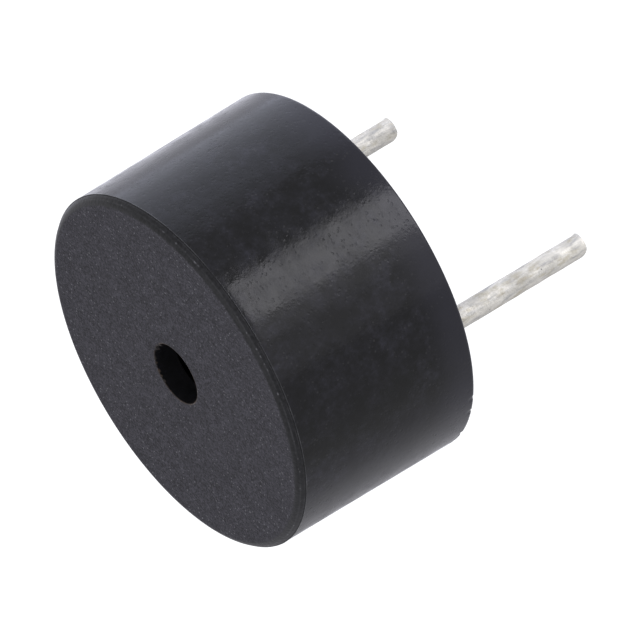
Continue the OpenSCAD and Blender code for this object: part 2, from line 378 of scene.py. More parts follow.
# A material with a Principled shader, and the position on the part in mm
def startMaterial(name, **constants):
    material, tree = emptyMaterial(name)
    shader = addNode(tree, "ShaderNodeBsdfPrincipled")
    for label, value in constants.items():
        shader.inputs[label.replace("_", " ")].default_value = value
    addNode(tree, "ShaderNodeOutputMaterial", {"Surface": shader.outputs[0]})
    place = addNode(tree, "ShaderNodeTexCoord").outputs["Object"]
    inMm = addNode(tree, "ShaderNodeVectorMath", {0: place, "Scale": 1 / mm}, operation="SCALE").outputs[0]
    return material, tree, shader, inMm


# Colour, roughness and the height of the surface, in mm from 0 to 1 times its depth
def finishMaterial(tree, shader, colour, rough, height, depth):
    tree.links.new(colour, shader.inputs["Base Color"])
    tree.links.new(rough, shader.inputs["Roughness"])
    bump = addNode(tree, "ShaderNodeBump", {"Strength": 1.0, "Distance": depth * mm, "Height": height})
    tree.links.new(bump.outputs[0], shader.inputs["Normal"])


def grain(tree, position, size):
    return addGroup(tree, grainGroup, {"Position": position, "Size": size})["Grain"]


def dots(tree, position, spacing, share, radius):
    inputs = {"Position": position, "Spacing": spacing, "Share": share, "Radius": radius}
    return addGroup(tree, dotsGroup, inputs)["Dots"]


def clouds(tree, position, size):
    return addGroup(tree, cloudGroup, {"Position": position, "Size": size})["Clouds"]


def raggedLine(tree, position, value, level, width, gaps):
    inputs = {"Position": position, "Value": value, "Level": level, "Width": width, "Gaps": gaps}
    return addGroup(tree, lineGroup, inputs)["Line"]


# Housing: its sizes in mm, and the finishes that the mould's parts leave on it
housingLook = {
    "segments": 512,
    "wall": 0.7,
    "frontWall": 0.8,
    "draft": 0.5,               # degrees
    "edgeRadius": 0.35,         # rolled edge round the face
    "edgeDepth": 0.23,          # face to parting line
    "partingStep": 0.02,        # by which the rolled edge stands back at the parting line
    "rimRound": 0.1,
    "rimBand": 0.5,             # height over the rim that has finer steps
    "partingBand": 0.4,         # and under the parting line
    "rimLeadIn": 0.12,
    "portRadius": 1.0,
    "portRound": 0.05,
    "portBand": 0.1,            # finer steps of the face round the port
    "faceBand": 0.3,            # and inside its edge
    "frontAir": 0.65,           # hollow between the front wall and the shoulder
    "shoulder": 0.6,            # ledge on which the ring inside stops
    "cornerRound": 0.3,
    "flashHeight": 0.014,       # ridge of flash along the parting line
    "flashWidth": 0.03,
    "flashRagged": 0.45,        # share of its height that comes and goes
    "sideWaves": (0.0035, 0.9, 3.0),        # depth, size and seed of the side's unevenness
    "sideRipples": (0.0005, 0.3, 8.0),
    "faceWaves": (0.003, 1.1, 11.0),
    "faceDish": 0.045,          # how far the face sinks to its middle
    "nickHeight": 0.25,
    "burrTeeth": (0.055, 5.0),  # size and seed
    "burrGaps": 0.45,           # share of the mouth that they leave whole
    "burrDroop": 0.5,
    # Bearing and half width in degrees, then depth or height
    "nicks": [(-9.5, 1, 0.035), (-15.8, 0.9, 0.045), (-30, 1.5, 0.05), (-37, 0.8, 0.03)],
    "burrs": [(150, 20, 0.16), (-13, 5, 0.14), (205, 45, 0.05)],    # round the port's mouth
    "sinks": [(53, 20, 0.012, 0.2)],        # under the parting line, with the length down the side
}
bodyRadius = min(abs(v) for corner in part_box("housing") for v in corner[:2]) / mm
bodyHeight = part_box("housing")[1].z / mm
partingHeight = bodyHeight - housingLook["edgeDepth"]

plasticLook = {
    "side": (0.0050, 0.0050, 0.0058, 1),
    "sideBloom": (0.0170, 0.0168, 0.0225, 1),      # where the skin is greyer
    "dust": (0.024, 0.0235, 0.025, 1),
    "faceDark": (0.0205, 0.0198, 0.0230, 1),
    "faceLight": (0.0710, 0.0688, 0.0805, 1),
    # painted glints: bright specks of the face's grain
    "faceGlint": (0.135, 0.134, 0.145, 1),
    "burr": (0.105, 0.062, 0.038, 1),
    # painted highlight lines along the rolled edge, the parting step and the flash ridge
    "highlightLine": (0.045, 0.045, 0.048, 1),
    # painted glints along the face's edge
    "beadGlint": (0.098, 0.097, 0.104, 1),
    "bandDark": (0.008, 0.008, 0.009, 1),
    "bandLight": (0.020, 0.020, 0.022, 1),
    "edgeLineDrop": 0.098,      # mm under the face, the painted highlight line round the rolled edge
    "stepLineRise": 0.03,       # mm over the parting line
    "flashLineDrop": 0.012,     # mm under it
    "edgeLine": dict(width=0.024, gaps=0.25),
    "stepLine": dict(width=0.016, gaps=0.4),
    "flashLine": dict(width=0.03, gaps=0.34),
    "grainBlend": (0.018, 0.003),           # mm under the face, where the edge takes its grain
    "faceGrainSizes": (0.055, 0.11, 0.6),
    "faceGrainShares": (0.45, 0.4, 0.15),
    "sidePits": dict(spacing=0.14, share=0.6, radius=0.075),
    "sideDust": dict(spacing=0.15, share=0.5, radius=0.05),
    "edgeGlintDots": dict(spacing=0.13, share=0.6, radius=0.07),
    "facePits": dict(spacing=0.2, share=0.25, radius=0.04),
    # where the painted glints fall on the face
    "faceGlintDots": dict(spacing=0.13, share=0.4, radius=0.042),
    "tornFlecks": dict(spacing=0.09, share=0.6, radius=0.05),
    "sideRough": (0.11, 0.26),
    "bandRough": (0.34, 0.46),
    "faceRough": (0.55, 0.75),
    "insideRough": (0.3, 0.5),
    "sideGloss": 0.16,
    "bandGloss": 0.13,
    "faceGloss": 0.06,
    "insideGloss": 0.2,
    "sideRelief": 0.0028,       # mm
    "bandRelief": 0.005,
    "faceRelief": 0.015,
    "insideRelief": 0.004,
    "rimGreyHeight": 1.7,         # mm over the rim up to which the side is greyer
    "bloomShare": 0.9,
    "pitRough": 0.12,
    "grainRough": 0.35,         # what the face's grain adds
}


# The spark-eroded face: light grains on a darker ground
def faceGrain(tree, position, look):
    fineSize, coarseSize, broadSize = look["faceGrainSizes"]
    fineShare, coarseShare, broadShare = look["faceGrainShares"]
    fine = times(tree, grain(tree, position, fineSize), fineShare)
    coarse = times(tree, grain(tree, position, coarseSize), coarseShare)
    broad = times(tree, clouds(tree, position, broadSize), broadShare)
    mixed = plus(tree, plus(tree, fine, coarse), broad)
    return mathNode(tree, "POWER", rescale(tree, mixed, 0.2, 0.8), 1.4)


def makeFacePlastic(look):
    material, tree, shader, position = startMaterial("facePlastic", Specular_IOR_Level=look["faceGloss"])
    mixed = faceGrain(tree, position, look)
    cloudy = between(tree, clouds(tree, position, size=2.2), -0.02, 0.03)
    lightness = plus(tree, mixed, cloudy, clamp=True)
    shade = mixColours(tree, lightness, look["faceDark"], look["faceLight"])
    pitted = mixColours(tree, dots(tree, position, **look["facePits"]), shade, look["faceDark"])
    # Painted glints: bright specks mixed into the face's colour
    lit = mixColours(tree, dots(tree, position, **look["faceGlintDots"]), pitted, look["faceGlint"])
    rough = between(tree, mixed, *look["faceRough"])
    finishMaterial(tree, shader, lit, rough, mixed, look["faceRelief"])
    return material


# Smooth drawn side: haze, pits and dust, greyer near the rim
def makeSidePlastic(look):
    material, tree, shader, position = startMaterial("sidePlastic", Specular_IOR_Level=look["sideGloss"])
    height = addGroup(tree, placeGroup, {"Position": position})["Height"]
    patchy = clouds(tree, position, size=1.1)
    fine = grain(tree, position, size=0.12)
    uneven = between(tree, clouds(tree, position, size=0.9), 0.1, 0.9)
    pits = times(tree, dots(tree, position, **look["sidePits"]), uneven)
    dust = times(tree, dots(tree, position, **look["sideDust"]), patchy)
    # Greyer towards the rim
    rimGreyEdge = plus(tree, height, between(tree, patchy, -0.2, 0.2))
    rimGrey = rescale(tree, rimGreyEdge, 0.1, look["rimGreyHeight"], 0.9, 0.0, smooth=True)
    # Painted highlight along the flash ridge under the parting line
    flashHighlight = raggedLine(tree, position, height, partingHeight - look["flashLineDrop"], **look["flashLine"])
    smeared = times(tree, clouds(tree, position, size=0.35), plus(tree, fine, 0.4))
    mottled = times(tree, times(tree, patchy, smeared), look["bloomShare"])
    skin = mixColours(tree, mathNode(tree, "MAXIMUM", mottled, rimGrey), look["side"], look["sideBloom"])
    lined = mixColours(tree, flashHighlight, skin, look["highlightLine"])
    dusty = mixColours(tree, dust, lined, look["dust"])
    hazy = between(tree, clouds(tree, position, size=0.55), *look["sideRough"])
    rough = plus(tree, hazy, times(tree, pits, look["pitRough"]))
    relief = mathNode(tree, "SUBTRACT", times(tree, fine, 0.5), pits)
    finishMaterial(tree, shader, dusty, rough, relief, look["sideRelief"])
    return material


# Rolled edge between the parting line and the face, with two painted highlight lines and painted glints along
# the inner one
def makeBandPlastic(look):
    material, tree, shader, position = startMaterial("bandPlastic", Specular_IOR_Level=look["bandGloss"])
    height = addGroup(tree, placeGroup, {"Position": position})["Height"]
    fine = grain(tree, position, size=0.1)
    edgeLine = raggedLine(tree, position, height, bodyHeight - look["edgeLineDrop"], **look["edgeLine"])
    # Painted glints: bright dots along the edge line
    beadGlints = times(tree, dots(tree, position, **look["edgeGlintDots"]), edgeLine)
    stepLine = raggedLine(tree, position, height, partingHeight + look["stepLineRise"], **look["stepLine"])
    skin = mixColours(tree, fine, look["bandDark"], look["bandLight"])
    grained = mixColours(tree, faceGrain(tree, position, look), look["faceDark"], look["faceLight"])
    blendStart, blendEnd = (bodyHeight - drop for drop in look["grainBlend"])
    faceward = rescale(tree, height, blendStart, blendEnd, smooth=True)
    blended = mixColours(tree, faceward, skin, grained)
    # Painted highlight lines round the rolled edge and over the parting line
    edgeHighlight = times(tree, edgeLine, clouds(tree, position, size=1.6))
    highlightLines = times(tree, mathNode(tree, "MAXIMUM", edgeHighlight, stepLine), 0.8)
    lined = mixColours(tree, highlightLines, blended, look["highlightLine"])
    rough = plus(tree, between(tree, fine, *look["bandRough"]), times(tree, faceward, look["grainRough"]))
    beadGlinted = mixColours(tree, beadGlints, lined, look["beadGlint"])
    finishMaterial(tree, shader, beadGlinted, rough, fine, look["bandRelief"])
    return material


# Polished core side of the mould; mouthPlastic is the same skin, torn brownish at the port
def makeInsidePlastic(look, name, spots, share):
    material, tree, shader, position = startMaterial(name, Specular_IOR_Level=look["insideGloss"])
    fine = grain(tree, position, size=0.12)
    flecks = plus(tree, dots(tree, position, **look["tornFlecks"]), 0.25, clamp=True)
    torn = times(tree, times(tree, clouds(tree, position, size=0.25), flecks), share)
    skin = mixColours(tree, torn, look["side"], look[spots])
    rough = between(tree, fine, *look["insideRough"])
    finishMaterial(tree, shader, skin, rough, fine, look["insideRelief"])
    return material


plasticFinishes = {
    "side": makeSidePlastic(plasticLook),
    "band": makeBandPlastic(plasticLook),
    "face": makeFacePlastic(plasticLook),
    "mouth": makeInsidePlastic(plasticLook, "mouthPlastic", "burr", 1.0),
    "inside": makeInsidePlastic(plasticLook, "insidePlastic", "sideBloom", 0.5),
}
print("plastic made")


# Points on an arc round a centre, from one angle to another in degrees, both ends included
def arc(centre, radius, start, end, steps):
    points = []
    for i in range(steps + 1):
        turn = math.radians(start + (end - start) * i / steps)
        points.append((centre[0] + radius * math.cos(turn), centre[1] + radius * math.sin(turn)))
    return points


# Points between two, the first left out
def run(start, end, steps):
    return [
        (start[0] + (end[0] - start[0]) * i / steps, start[1] + (end[1] - start[1]) * i / steps)
        for i in range(1, steps + 1)
    ]


# Uneven skin, as a share from 0 to 1
def unevenness(x, y, z, size, seed):
    place = Vector((x / size + seed, y / size, z / size))
    return 0.5 + 0.5 * noise.fractal(place, 1.0, 2.0, 3)


def waves(x, y, z, depth, size, seed):
    return depth * unevenness(x, y, z, size, seed)


# A round hump on one side of a ring, 1 in its middle and 0 past its half width, in degrees
def hump(turn, bearing, halfWidth):
    gap = (math.degrees(turn) - bearing + 180) % 360 - 180
    return max(0.0, 1 - (gap / halfWidth) ** 2)


def linkPiece(name, mesh, materials, creaseAngle=32):
    bmesh.ops.recalc_face_normals(mesh, faces=mesh.faces)
    data = bpy.data.meshes.new(name)
    mesh.to_mesh(data)
    mesh.free()
    for material in materials:
        data.materials.append(material)
    data.shade_smooth()
    data.set_sharp_from_angle(angle=math.radians(creaseAngle))
    piece = bpy.data.objects.new(name, data)
    scene.collection.objects.link(piece)
    return piece


# Turns rings of (radius, height, zone) round an axis; shape moves a point by what its zone needs
def lathe(name, rings, segments, shape, materials, closed=True, axis=(0.0, 0.0)):
    mesh = bmesh.new()
    order = list(materials)
    loops = []
    for radius, height, zone in rings:
        count = 1 if radius == 0 else segments
        loop = []
        for i in range(count):
            turn = 2 * math.pi * i / segments
            r, z = shape(zone, radius, height, turn)
            x = axis[0] + r * math.cos(turn)
            y = axis[1] + r * math.sin(turn)
            loop.append(mesh.verts.new((x * mm, y * mm, z * mm)))
        loops.append(loop)
    pairs = list(zip(loops, loops[1:], rings))
    if closed:
        pairs.append((loops[-1], loops[0], rings[-1]))
    for low, high, ring in pairs:
        for i in range(segments):
            j = (i + 1) % segments
            corners = [low[i % len(low)], low[j % len(low)], high[j % len(high)], high[i % len(high)]]
            face = mesh.faces.new(list(dict.fromkeys(corners)))
            face.material_index = order.index(ring[2])
    return linkPiece(name, mesh, [materials[zone] for zone in order])


# Section of the moulded cup, from the rim up its outside, in at the port and down its inside
def housingRings(look):
    boreRadius = bodyRadius - look["wall"]
    slope = math.tan(math.radians(look["draft"]))
    partingRadius = bodyRadius - partingHeight * slope
    rolled = look["edgeRadius"]
    startAngle = math.degrees(math.asin((rolled - look["edgeDepth"]) / rolled))
    edgeMiddle = partingRadius - look["partingStep"] - rolled * math.cos(math.radians(startAngle))
    ceiling = bodyHeight - look["frontWall"]
    shoulderHeight = ceiling - look["frontAir"]
    cavityRadius = boreRadius - look["shoulder"]
    portRadius = look["portRadius"]
    mouth = portRadius + look["portRound"]
    corner = look["cornerRound"]
    rim = look["rimRound"]

    # The last number of each arc and run is its count of steps
    side = arc((bodyRadius - rim, rim), rim, -90, 0, 6)
    flashFoot = partingHeight - look["flashWidth"]
    side += run(side[-1], (bodyRadius - look["rimBand"] * slope, look["rimBand"]), 8)
    nearParting = partingHeight - look["partingBand"]
    side += run(side[-1], (bodyRadius - nearParting * slope, nearParting), 50)
    side += run(side[-1], (bodyRadius - flashFoot * slope, flashFoot), 12)
    side += run(side[-1], (partingRadius, partingHeight), 6)
    band = arc((edgeMiddle, bodyHeight - rolled), rolled, startAngle, 90, 18)
    face = run(band[-1], (edgeMiddle - look["faceBand"], bodyHeight), 5)
    face += run(face[-1], (mouth + look["portBand"], bodyHeight), 26)
    face += run(face[-1], (mouth, bodyHeight), 3)
    port = arc((mouth, bodyHeight - look["portRound"]), look["portRound"], 90, 180, 5)[1:]
    inside = run(port[-1], (portRadius, ceiling), 6)
    inside += run(inside[-1], (cavityRadius - corner, ceiling), 8)
    inside += arc((cavityRadius - corner, ceiling - corner), corner, 90, 0, 6)[1:]
    inside += run(inside[-1], (cavityRadius, shoulderHeight), 2)
    inside += run(inside[-1], (boreRadius, shoulderHeight), 2)
    inside += run(inside[-1], (boreRadius, look["rimLeadIn"]), 8)
    inside += run(inside[-1], (boreRadius + look["rimLeadIn"], 0), 2)
    inside += run(inside[-1], (bodyRadius - rim, 0), 4)[:-1]

    rings = []
    stretches = [("side", side[:-1]), ("band", side[-1:] + band[:-1]), ("face", band[-1:] + face[:-1]),
                 ("mouth", face[-1:] + port[:-1]), ("inside", port[-1:] + inside)]
    for zone, points in stretches:
        rings += [(r, z, zone) for r, z in points]
    return rings


# The side as moulded: waves, the ridge of flash, sinks under it and nicks in the rim
def sideRadius(look, r, z, turn):
    x = r * math.cos(turn)
    y = r * math.sin(turn)
    r -= waves(x, y, z, *look["sideWaves"])
    r -= waves(x, y, z, *look["sideRipples"])
    fromParting = (partingHeight - look["flashWidth"] / 2 - z) / look["flashWidth"] * 2
    if abs(fromParting) < 1:
        share = look["flashRagged"]
        ragged = 1 - share + share * noise.noise(Vector((x * 2.2, y * 2.2, 7.0)))
        r += look["flashHeight"] * (1 - fromParting ** 2) * ragged
    for bearing, width, depth, length in look["sinks"]:
        down = (partingHeight - z) / length
        r -= depth * hump(turn, bearing, width) * max(0.0, 1 - down) ** 2
    for bearing, width, depth in look["nicks"]:
        up = z / look["nickHeight"]
        r -= depth * hump(turn, bearing, width) * max(0.0, 1 - up)
    return r


# The port's mouth, with plastic torn up round it
def mouthPoint(look, r, z, turn):
    x = r * math.cos(turn)
    y = r * math.sin(turn)
    for bearing, width, height in look["burrs"]:
        torn = max(0.0, unevenness(x, y, z, *look["burrTeeth"]) - look["burrGaps"])
        ragged = height * hump(turn, bearing, width) * torn * 2
        r -= ragged
        z -= look["burrDroop"] * ragged
    return r, z


def makeHousing(look):
    def shape(zone, r, z, turn):
        if zone == "side":
            r = sideRadius(look, r, z, turn)
        if zone in ("face", "mouth"):
            z -= look["faceDish"] * max(0.0, 1 - (r / (bodyRadius - look["edgeRadius"])) ** 2)
        if zone == "face":
            z -= waves(r * math.cos(turn), r * math.sin(turn), z, *look["faceWaves"])
        if zone == "mouth":
            r, z = mouthPoint(look, r, z, turn)
        return r, z

    housing = lathe("housing_shell", housingRings(look), look["segments"], shape, plasticFinishes)
    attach(housing, "root")
    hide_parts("housing")
    print("housing made,", 2 * len(housing.data.polygons), "triangles")


makeHousing(housingLook)


# Pins: round wire, tinned, cropped at the tip. Sizes in mm
pinLook = {
    "segments": 96,
    "legRadius": 0.35,
    "rootRadius": 0.4,
    "headThickness": 0.25,
    "resinLevel": 0.25,         # over the seating plane
    "cropRound": 0.2,           # corner that the blade rolled over
    "cropBearing": -40.0,
    "cropLip": 0.022,           # flare left on the far side of the cut
    "endBulge": 0.03,
    "endLength": 0.5,           # how far up the leg the cut has bent it
    "tinWaves": (0.012, 0.45, 17.0),        # depth, size and seed
    "tinLevel": 0.6,            # share of the unevenness that leaves the leg at its radius
    "tinEnd": 0.3,              # length over which the waves fade out at the tip
    "lean": {"positive_pin": 0.035, "negative_pin": 0.02},      # at the tip
    "colour": (0.63, 0.615, 0.58, 1),
    "dull": (0.53, 0.518, 0.49, 1),
    "drawn": (0.38, 0.38, 0.38, 1),                # streaks from the drawing die
    "stain": (0.44, 0.412, 0.34, 1),
    "speck": (0.15, 0.145, 0.14, 1),
    "cut": (0.40, 0.39, 0.37, 1),
    "patchSize": 0.3,
    "drawnSize": 0.13,
    "stainSize": 0.2,
    "smear": 0.4,               # how much patches and stains shrink along the wire to draw them out
    "drawnSmear": 0.22,
    "drawnShare": 0.8,
    "stainShare": 0.65,
    "specks": dict(spacing=0.2, share=0.3, radius=0.035),
    "rough": (0.68, 0.84),
    "relief": 0.011,            # mm
}


# Draws a pattern out along the wire
def drawnOut(tree, position, squeeze):
    inputs = {0: position, 1: (1, 1, squeeze)}
    return addNode(tree, "ShaderNodeVectorMath", inputs, operation="MULTIPLY").outputs[0]


def makeTinnedWire(look, name, colour):
    material, tree, shader, position = startMaterial(name, Metallic=0.9)
    smeared = drawnOut(tree, position, look["smear"])
    streaky = drawnOut(tree, position, look["drawnSmear"])
    fine = grain(tree, position, size=0.12)
    patchy = clouds(tree, smeared, look["patchSize"])
    drawn = rescale(tree, clouds(tree, streaky, look["drawnSize"]), 0.45, 1.0, 0.0, look["drawnShare"])
    dulled = mixColours(tree, patchy, look[colour], look["dull"])
    streaked = mixColours(tree, drawn, dulled, look["drawn"])
    stains = rescale(tree, clouds(tree, smeared, look["stainSize"]), 0.6, 1.0, 0.0, look["stainShare"])
    stained = mixColours(tree, stains, streaked, look["stain"])
    pitted = mixColours(tree, dots(tree, position, **look["specks"]), stained, look["speck"])
    relief = plus(tree, fine, times(tree, drawn, 0.5))
    finishMaterial(tree, shader, pitted, between(tree, patchy, *look["rough"]), relief, look["relief"])
    return material


# Where a pin's middle line stands, as (x, y) in mm
def pinAxis(node):
    low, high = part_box(node)
    return (low.x + high.x) / 2 / mm, (low.y + high.y) / 2 / mm


def makePin(name, node, look, leg, cut):
    low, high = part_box(node)
    axis = pinAxis(node)
    tip = low.z / mm
    top = high.z / mm
    legRadius = look["legRadius"]
    rootRadius = look["rootRadius"]
    headRadius = (high.x - low.x) / 2 / mm
    headHeight = top - look["headThickness"]
    resinLevel = look["resinLevel"]
    cropRound = look["cropRound"]
    heading = math.radians(look["cropBearing"])
    endLength = look["endLength"]
    lean = look["lean"][node]

    capSteps = 12
    cap = [(legRadius * i / capSteps, tip) for i in range(capSteps + 1)]
    end = run(cap[-1], (legRadius, tip + endLength), 14)
    shank = run(end[-1], (legRadius, resinLevel), 70)
    root = [(rootRadius, resinLevel)] + run((rootRadius, resinLevel), (rootRadius, headHeight), 6)
    root += [(headRadius, headHeight), (headRadius, top), (0, top)]
    rings = []
    for zone, points in (("cap", cap[:-1]), ("end", cap[-1:] + end), ("leg", shank), ("root", root)):
        rings += [(r, z, zone) for r, z in points]

    # How far the rolled corner and the hollow round the lip lift the end
    def endHeight(r, turn):
        across = r * math.cos(turn - heading)
        into = max(0.0, across - (legRadius - cropRound))
        rolledUp = cropRound - math.sqrt(max(0.0, cropRound ** 2 - into ** 2))
        bulge = look["endBulge"] * (r / legRadius) ** 2 * (0.5 + 0.5 * across / legRadius)
        return rolledUp + bulge

    def shape(zone, r, z, turn):
        x = r * math.cos(turn)
        y = r * math.sin(turn)
        if zone in ("end", "leg"):
            depth, size, seed = look["tinWaves"]
            uneven = unevenness(x + axis[0], y, z, size, seed) - look["tinLevel"]
            r -= depth * uneven * min(1, (z - tip) / look["tinEnd"])
        if zone == "cap":
            z += endHeight(r, turn)
        if zone == "end":
            share = 1 - (z - tip) / endLength
            z += endHeight(legRadius, turn) * share
            flare = max(0.0, -math.cos(turn - heading)) ** 3
            r += look["cropLip"] * flare * share ** 6
        return r, z

    zones = {"cap": cut, "end": leg, "leg": leg, "root": leg}
    piece = lathe(name, rings, look["segments"], shape, zones, closed=False, axis=axis)
    for vertex in piece.data.vertices:
        below = resinLevel - vertex.co.z / mm
        vertex.co.x += lean * mm * max(0.0, below) / (resinLevel - tip)
    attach(piece, "root")
    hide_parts(node)


tinnedWire = makeTinnedWire(pinLook, "tinnedWire", "colour")
croppedWire = makeTinnedWire(pinLook, "croppedWire", "cut")
makePin("positive_leg", "positive_pin", pinLook, tinnedWire, croppedWire)
makePin("negative_leg", "negative_pin", pinLook, tinnedWire, croppedWire)
print("pins made")


# Resin poured over the board, seen from below. Sizes in mm
resinLook = {
    "meniscus": 0.1,            # how far it climbs the wall and the pins
    "waves": (0.03, 2.4, 21.0),             # depth, size and seed
    "wallSteps": 288,
    "pinSteps": 64,
    "collarShares": (0.25, 0.5, 0.75, 1.0, 1.6),        # rings of points, in menisci from what it wets
    "gridStep": 0.13,
    "gridClear": 2.2,           # menisci between the grid and what it wets
    "craterDepth": 0.45,        # as a share of the bubble's radius
    "craterLip": 0.12,          # ridge round it, by the same measure
    "calmReach": 0.6,           # how far from what it wets the waves begin
    "bubbles": [(-1.9, 2.6, 0.16), (0.7, -3.4, 0.11), (1.5, 3.9, 0.08), (-2.6, -2.9, 0.09), (4.2, 1.7, 0.07)],
    "colour": (0.011, 0.0108, 0.0115, 1),
    "cured": (0.020, 0.019, 0.018, 1),
    "dust": (0.10, 0.098, 0.09, 1),
    "dustDots": dict(spacing=0.5, share=0.14, radius=0.04),
    "rough": (0.12, 0.26),
    "gloss": 0.22,
    "relief": 0.003,
}


def makePottingResin(look):
    material, tree, shader, position = startMaterial("pottingResin", Specular_IOR_Level=look["gloss"])
    patchy = clouds(tree, position, size=1.6)
    skin = mixColours(tree, patchy, look["colour"], look["cured"])
    dusty = mixColours(tree, dots(tree, position, **look["dustDots"]), skin, look["dust"])
    rough = between(tree, patchy, *look["rough"])
    finishMaterial(tree, shader, dusty, rough, grain(tree, position, size=0.3), look["relief"])
    return material


# Evenly spaced points on a circle, as (x, y)
def circlePoints(centre, radius, count):
    turns = [2 * math.pi * i / count for i in range(count)]
    return [Vector((centre[0] + radius * math.cos(t), centre[1] + radius * math.sin(t))) for t in turns]


# Points of the resin's skin, close together where it climbs, and the edges that bound it
def resinPoints(look, wallRadius, pins):
    meniscus = look["meniscus"]
    points = []
    edges = []
    collars = [((0, 0), wallRadius, -1, look["wallSteps"])]
    collars += [(pin, pinLook["rootRadius"], 1, look["pinSteps"]) for pin in pins]
    for centre, radius, hand, count in collars:
        first = len(points)
        points += circlePoints(centre, radius, count)
        edges += [(first + i, first + (i + 1) % count) for i in range(count)]
        for share in look["collarShares"]:
            points += circlePoints(centre, radius + hand * share * meniscus, count)
    margin = look["gridClear"] * meniscus
    step = look["gridStep"]
    rows = int(2 * wallRadius / step)
    for i in range(rows):
        for j in range(rows):
            spot = Vector(((i + 0.5 * (j % 2)) * step - wallRadius, j * step - wallRadius))
            clear = min((spot - pin).length for pin in pins) - pinLook["rootRadius"]
            if spot.length < wallRadius - margin and clear > margin:
                points.append(spot)
    return points, edges


# Lies level, climbs what it wets, and sinks where a bubble burst
def resinHeight(look, spot, level, wallRadius, pins):
    meniscus = look["meniscus"]
    toPins = min((spot - pin).length for pin in pins) - pinLook["rootRadius"]
    away = min(wallRadius - spot.length, toPins)
    climb = meniscus * max(0.0, 1 - away / meniscus) ** 2
    calm = min(1.0, max(0.0, away) / look["calmReach"])
    depth, size, seed = look["waves"]
    wave = depth * calm * (unevenness(spot.x, spot.y, 0, size, seed) - 0.3)
    crater = 0.0
    for x, y, radius in look["bubbles"]:
        share = (spot - Vector((x, y))).length / radius
        crater += look["craterDepth"] * radius * max(0.0, 1 - share ** 2)
        crater -= look["craterLip"] * radius * math.exp(-((share - 1.15) / 0.2) ** 2)
    return level - climb + wave + crater


def makeResin(look, material):
    low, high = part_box("base_seal")
    wallRadius = min(abs(v) for corner in (low, high) for v in corner[:2]) / mm
    top = high.z / mm
    level = low.z / mm + look["meniscus"]
    pins = [Vector(pinAxis(node)) for node in ("positive_pin", "negative_pin")]
    points, edges = resinPoints(look, wallRadius, pins)
    flat, _, triangles, *_ = geometry.delaunay_2d_cdt(points, edges, [], 0, 1e-6)

    mesh = bmesh.new()
    heights = [resinHeight(look, spot, level, wallRadius, pins) for spot in flat]
    below = [mesh.verts.new((p.x * mm, p.y * mm, z * mm)) for p, z in zip(flat, heights)]
    above = [mesh.verts.new((p.x * mm, p.y * mm, top * mm)) for p in flat]
    for a, b, c in triangles:
        middle = (flat[a] + flat[b] + flat[c]) / 3
        if min((middle - pin).length for pin in pins) > pinLook["rootRadius"] * 0.99:
            mesh.faces.new((below[a], below[b], below[c]))
            mesh.faces.new((above[c], above[b], above[a]))
    partner = dict(zip(below, above))
    for edge in [edge for edge in mesh.edges if edge.is_boundary and edge.verts[0] in partner]:
        a, b = edge.verts
        mesh.faces.new((a, b, partner[b], partner[a]))
    piece = linkPiece("resin_pour", mesh, [material])
    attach(piece, "root")
    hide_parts("base_seal")
    print("resin made,", len(piece.data.polygons), "faces")


pottingResin = makePottingResin(resinLook)
makeResin(resinLook, pottingResin)


# Finishes of the pieces inside, whose shape the CAD nodes already have
metalLooks = {
    "spring_steel": dict(colour=(0.52, 0.50, 0.45, 1), tarnish=(0.30, 0.24, 0.17, 1), share=0.5,
                         rough=(0.22, 0.36), grainSize=0.06, depth=0.002, ringSpacing=0.0),
    "soft_iron": dict(colour=(0.42, 0.42, 0.43, 1), tarnish=(0.20, 0.17, 0.15, 1), share=0.7,
                      rough=(0.35, 0.55), grainSize=0.12, depth=0.006, ringSpacing=0.11),
    "plated_iron": dict(colour=(0.56, 0.56, 0.57, 1), tarnish=(0.36, 0.34, 0.30, 1), share=0.35,
                        rough=(0.22, 0.4), grainSize=0.09, depth=0.004, ringSpacing=0.0),
    "copper_foil": dict(colour=(0.62, 0.28, 0.15, 1), tarnish=(0.28, 0.12, 0.07, 1), share=0.6,
                        rough=(0.28, 0.45), grainSize=0.05, depth=0.003, ringSpacing=0.0),
    "solder": dict(colour=(0.62, 0.62, 0.62, 1), tarnish=(0.34, 0.33, 0.30, 1), share=0.6,
                   rough=(0.2, 0.42), grainSize=0.14, depth=0.008, ringSpacing=0.0),
    "tinned_wire": dict(colour=(0.63, 0.615, 0.58, 1), tarnish=(0.53, 0.518, 0.49, 1), share=0.5,
                        rough=(0.62, 0.76), grainSize=0.12, depth=0.007, ringSpacing=0.0),
}
mouldedLooks = {
    "ring_plastic": dict(
        colour=(0.60, 0.56, 0.44, 1), marks=(0.44, 0.40, 0.30, 1), spots=(0.16, 0.13, 0.09, 1),
        spotShare=0.05, specular=0.4, rough=(0.35, 0.5), grainSize=0.12, depth=0.004),
    "bobbin_plastic": dict(
        colour=(0.72, 0.68, 0.58, 1), marks=(0.60, 0.54, 0.42, 1), spots=(0.28, 0.22, 0.14, 1),
        spotShare=0.03, specular=0.45, rough=(0.28, 0.42), grainSize=0.1, depth=0.003),
    "ferrite": dict(
        colour=(0.045, 0.043, 0.046, 1), marks=(0.075, 0.072, 0.074, 1), spots=(0.20, 0.20, 0.21, 1),
        spotShare=0.12, specular=0.35, rough=(0.5, 0.72), grainSize=0.07, depth=0.012),
    "moulded_plastic": dict(
        colour=plasticLook["side"], marks=plasticLook["sideBloom"], spots=plasticLook["dust"],
        spotShare=0.2, specular=0.16, rough=(0.3, 0.5), grainSize=0.12, depth=0.004),
}
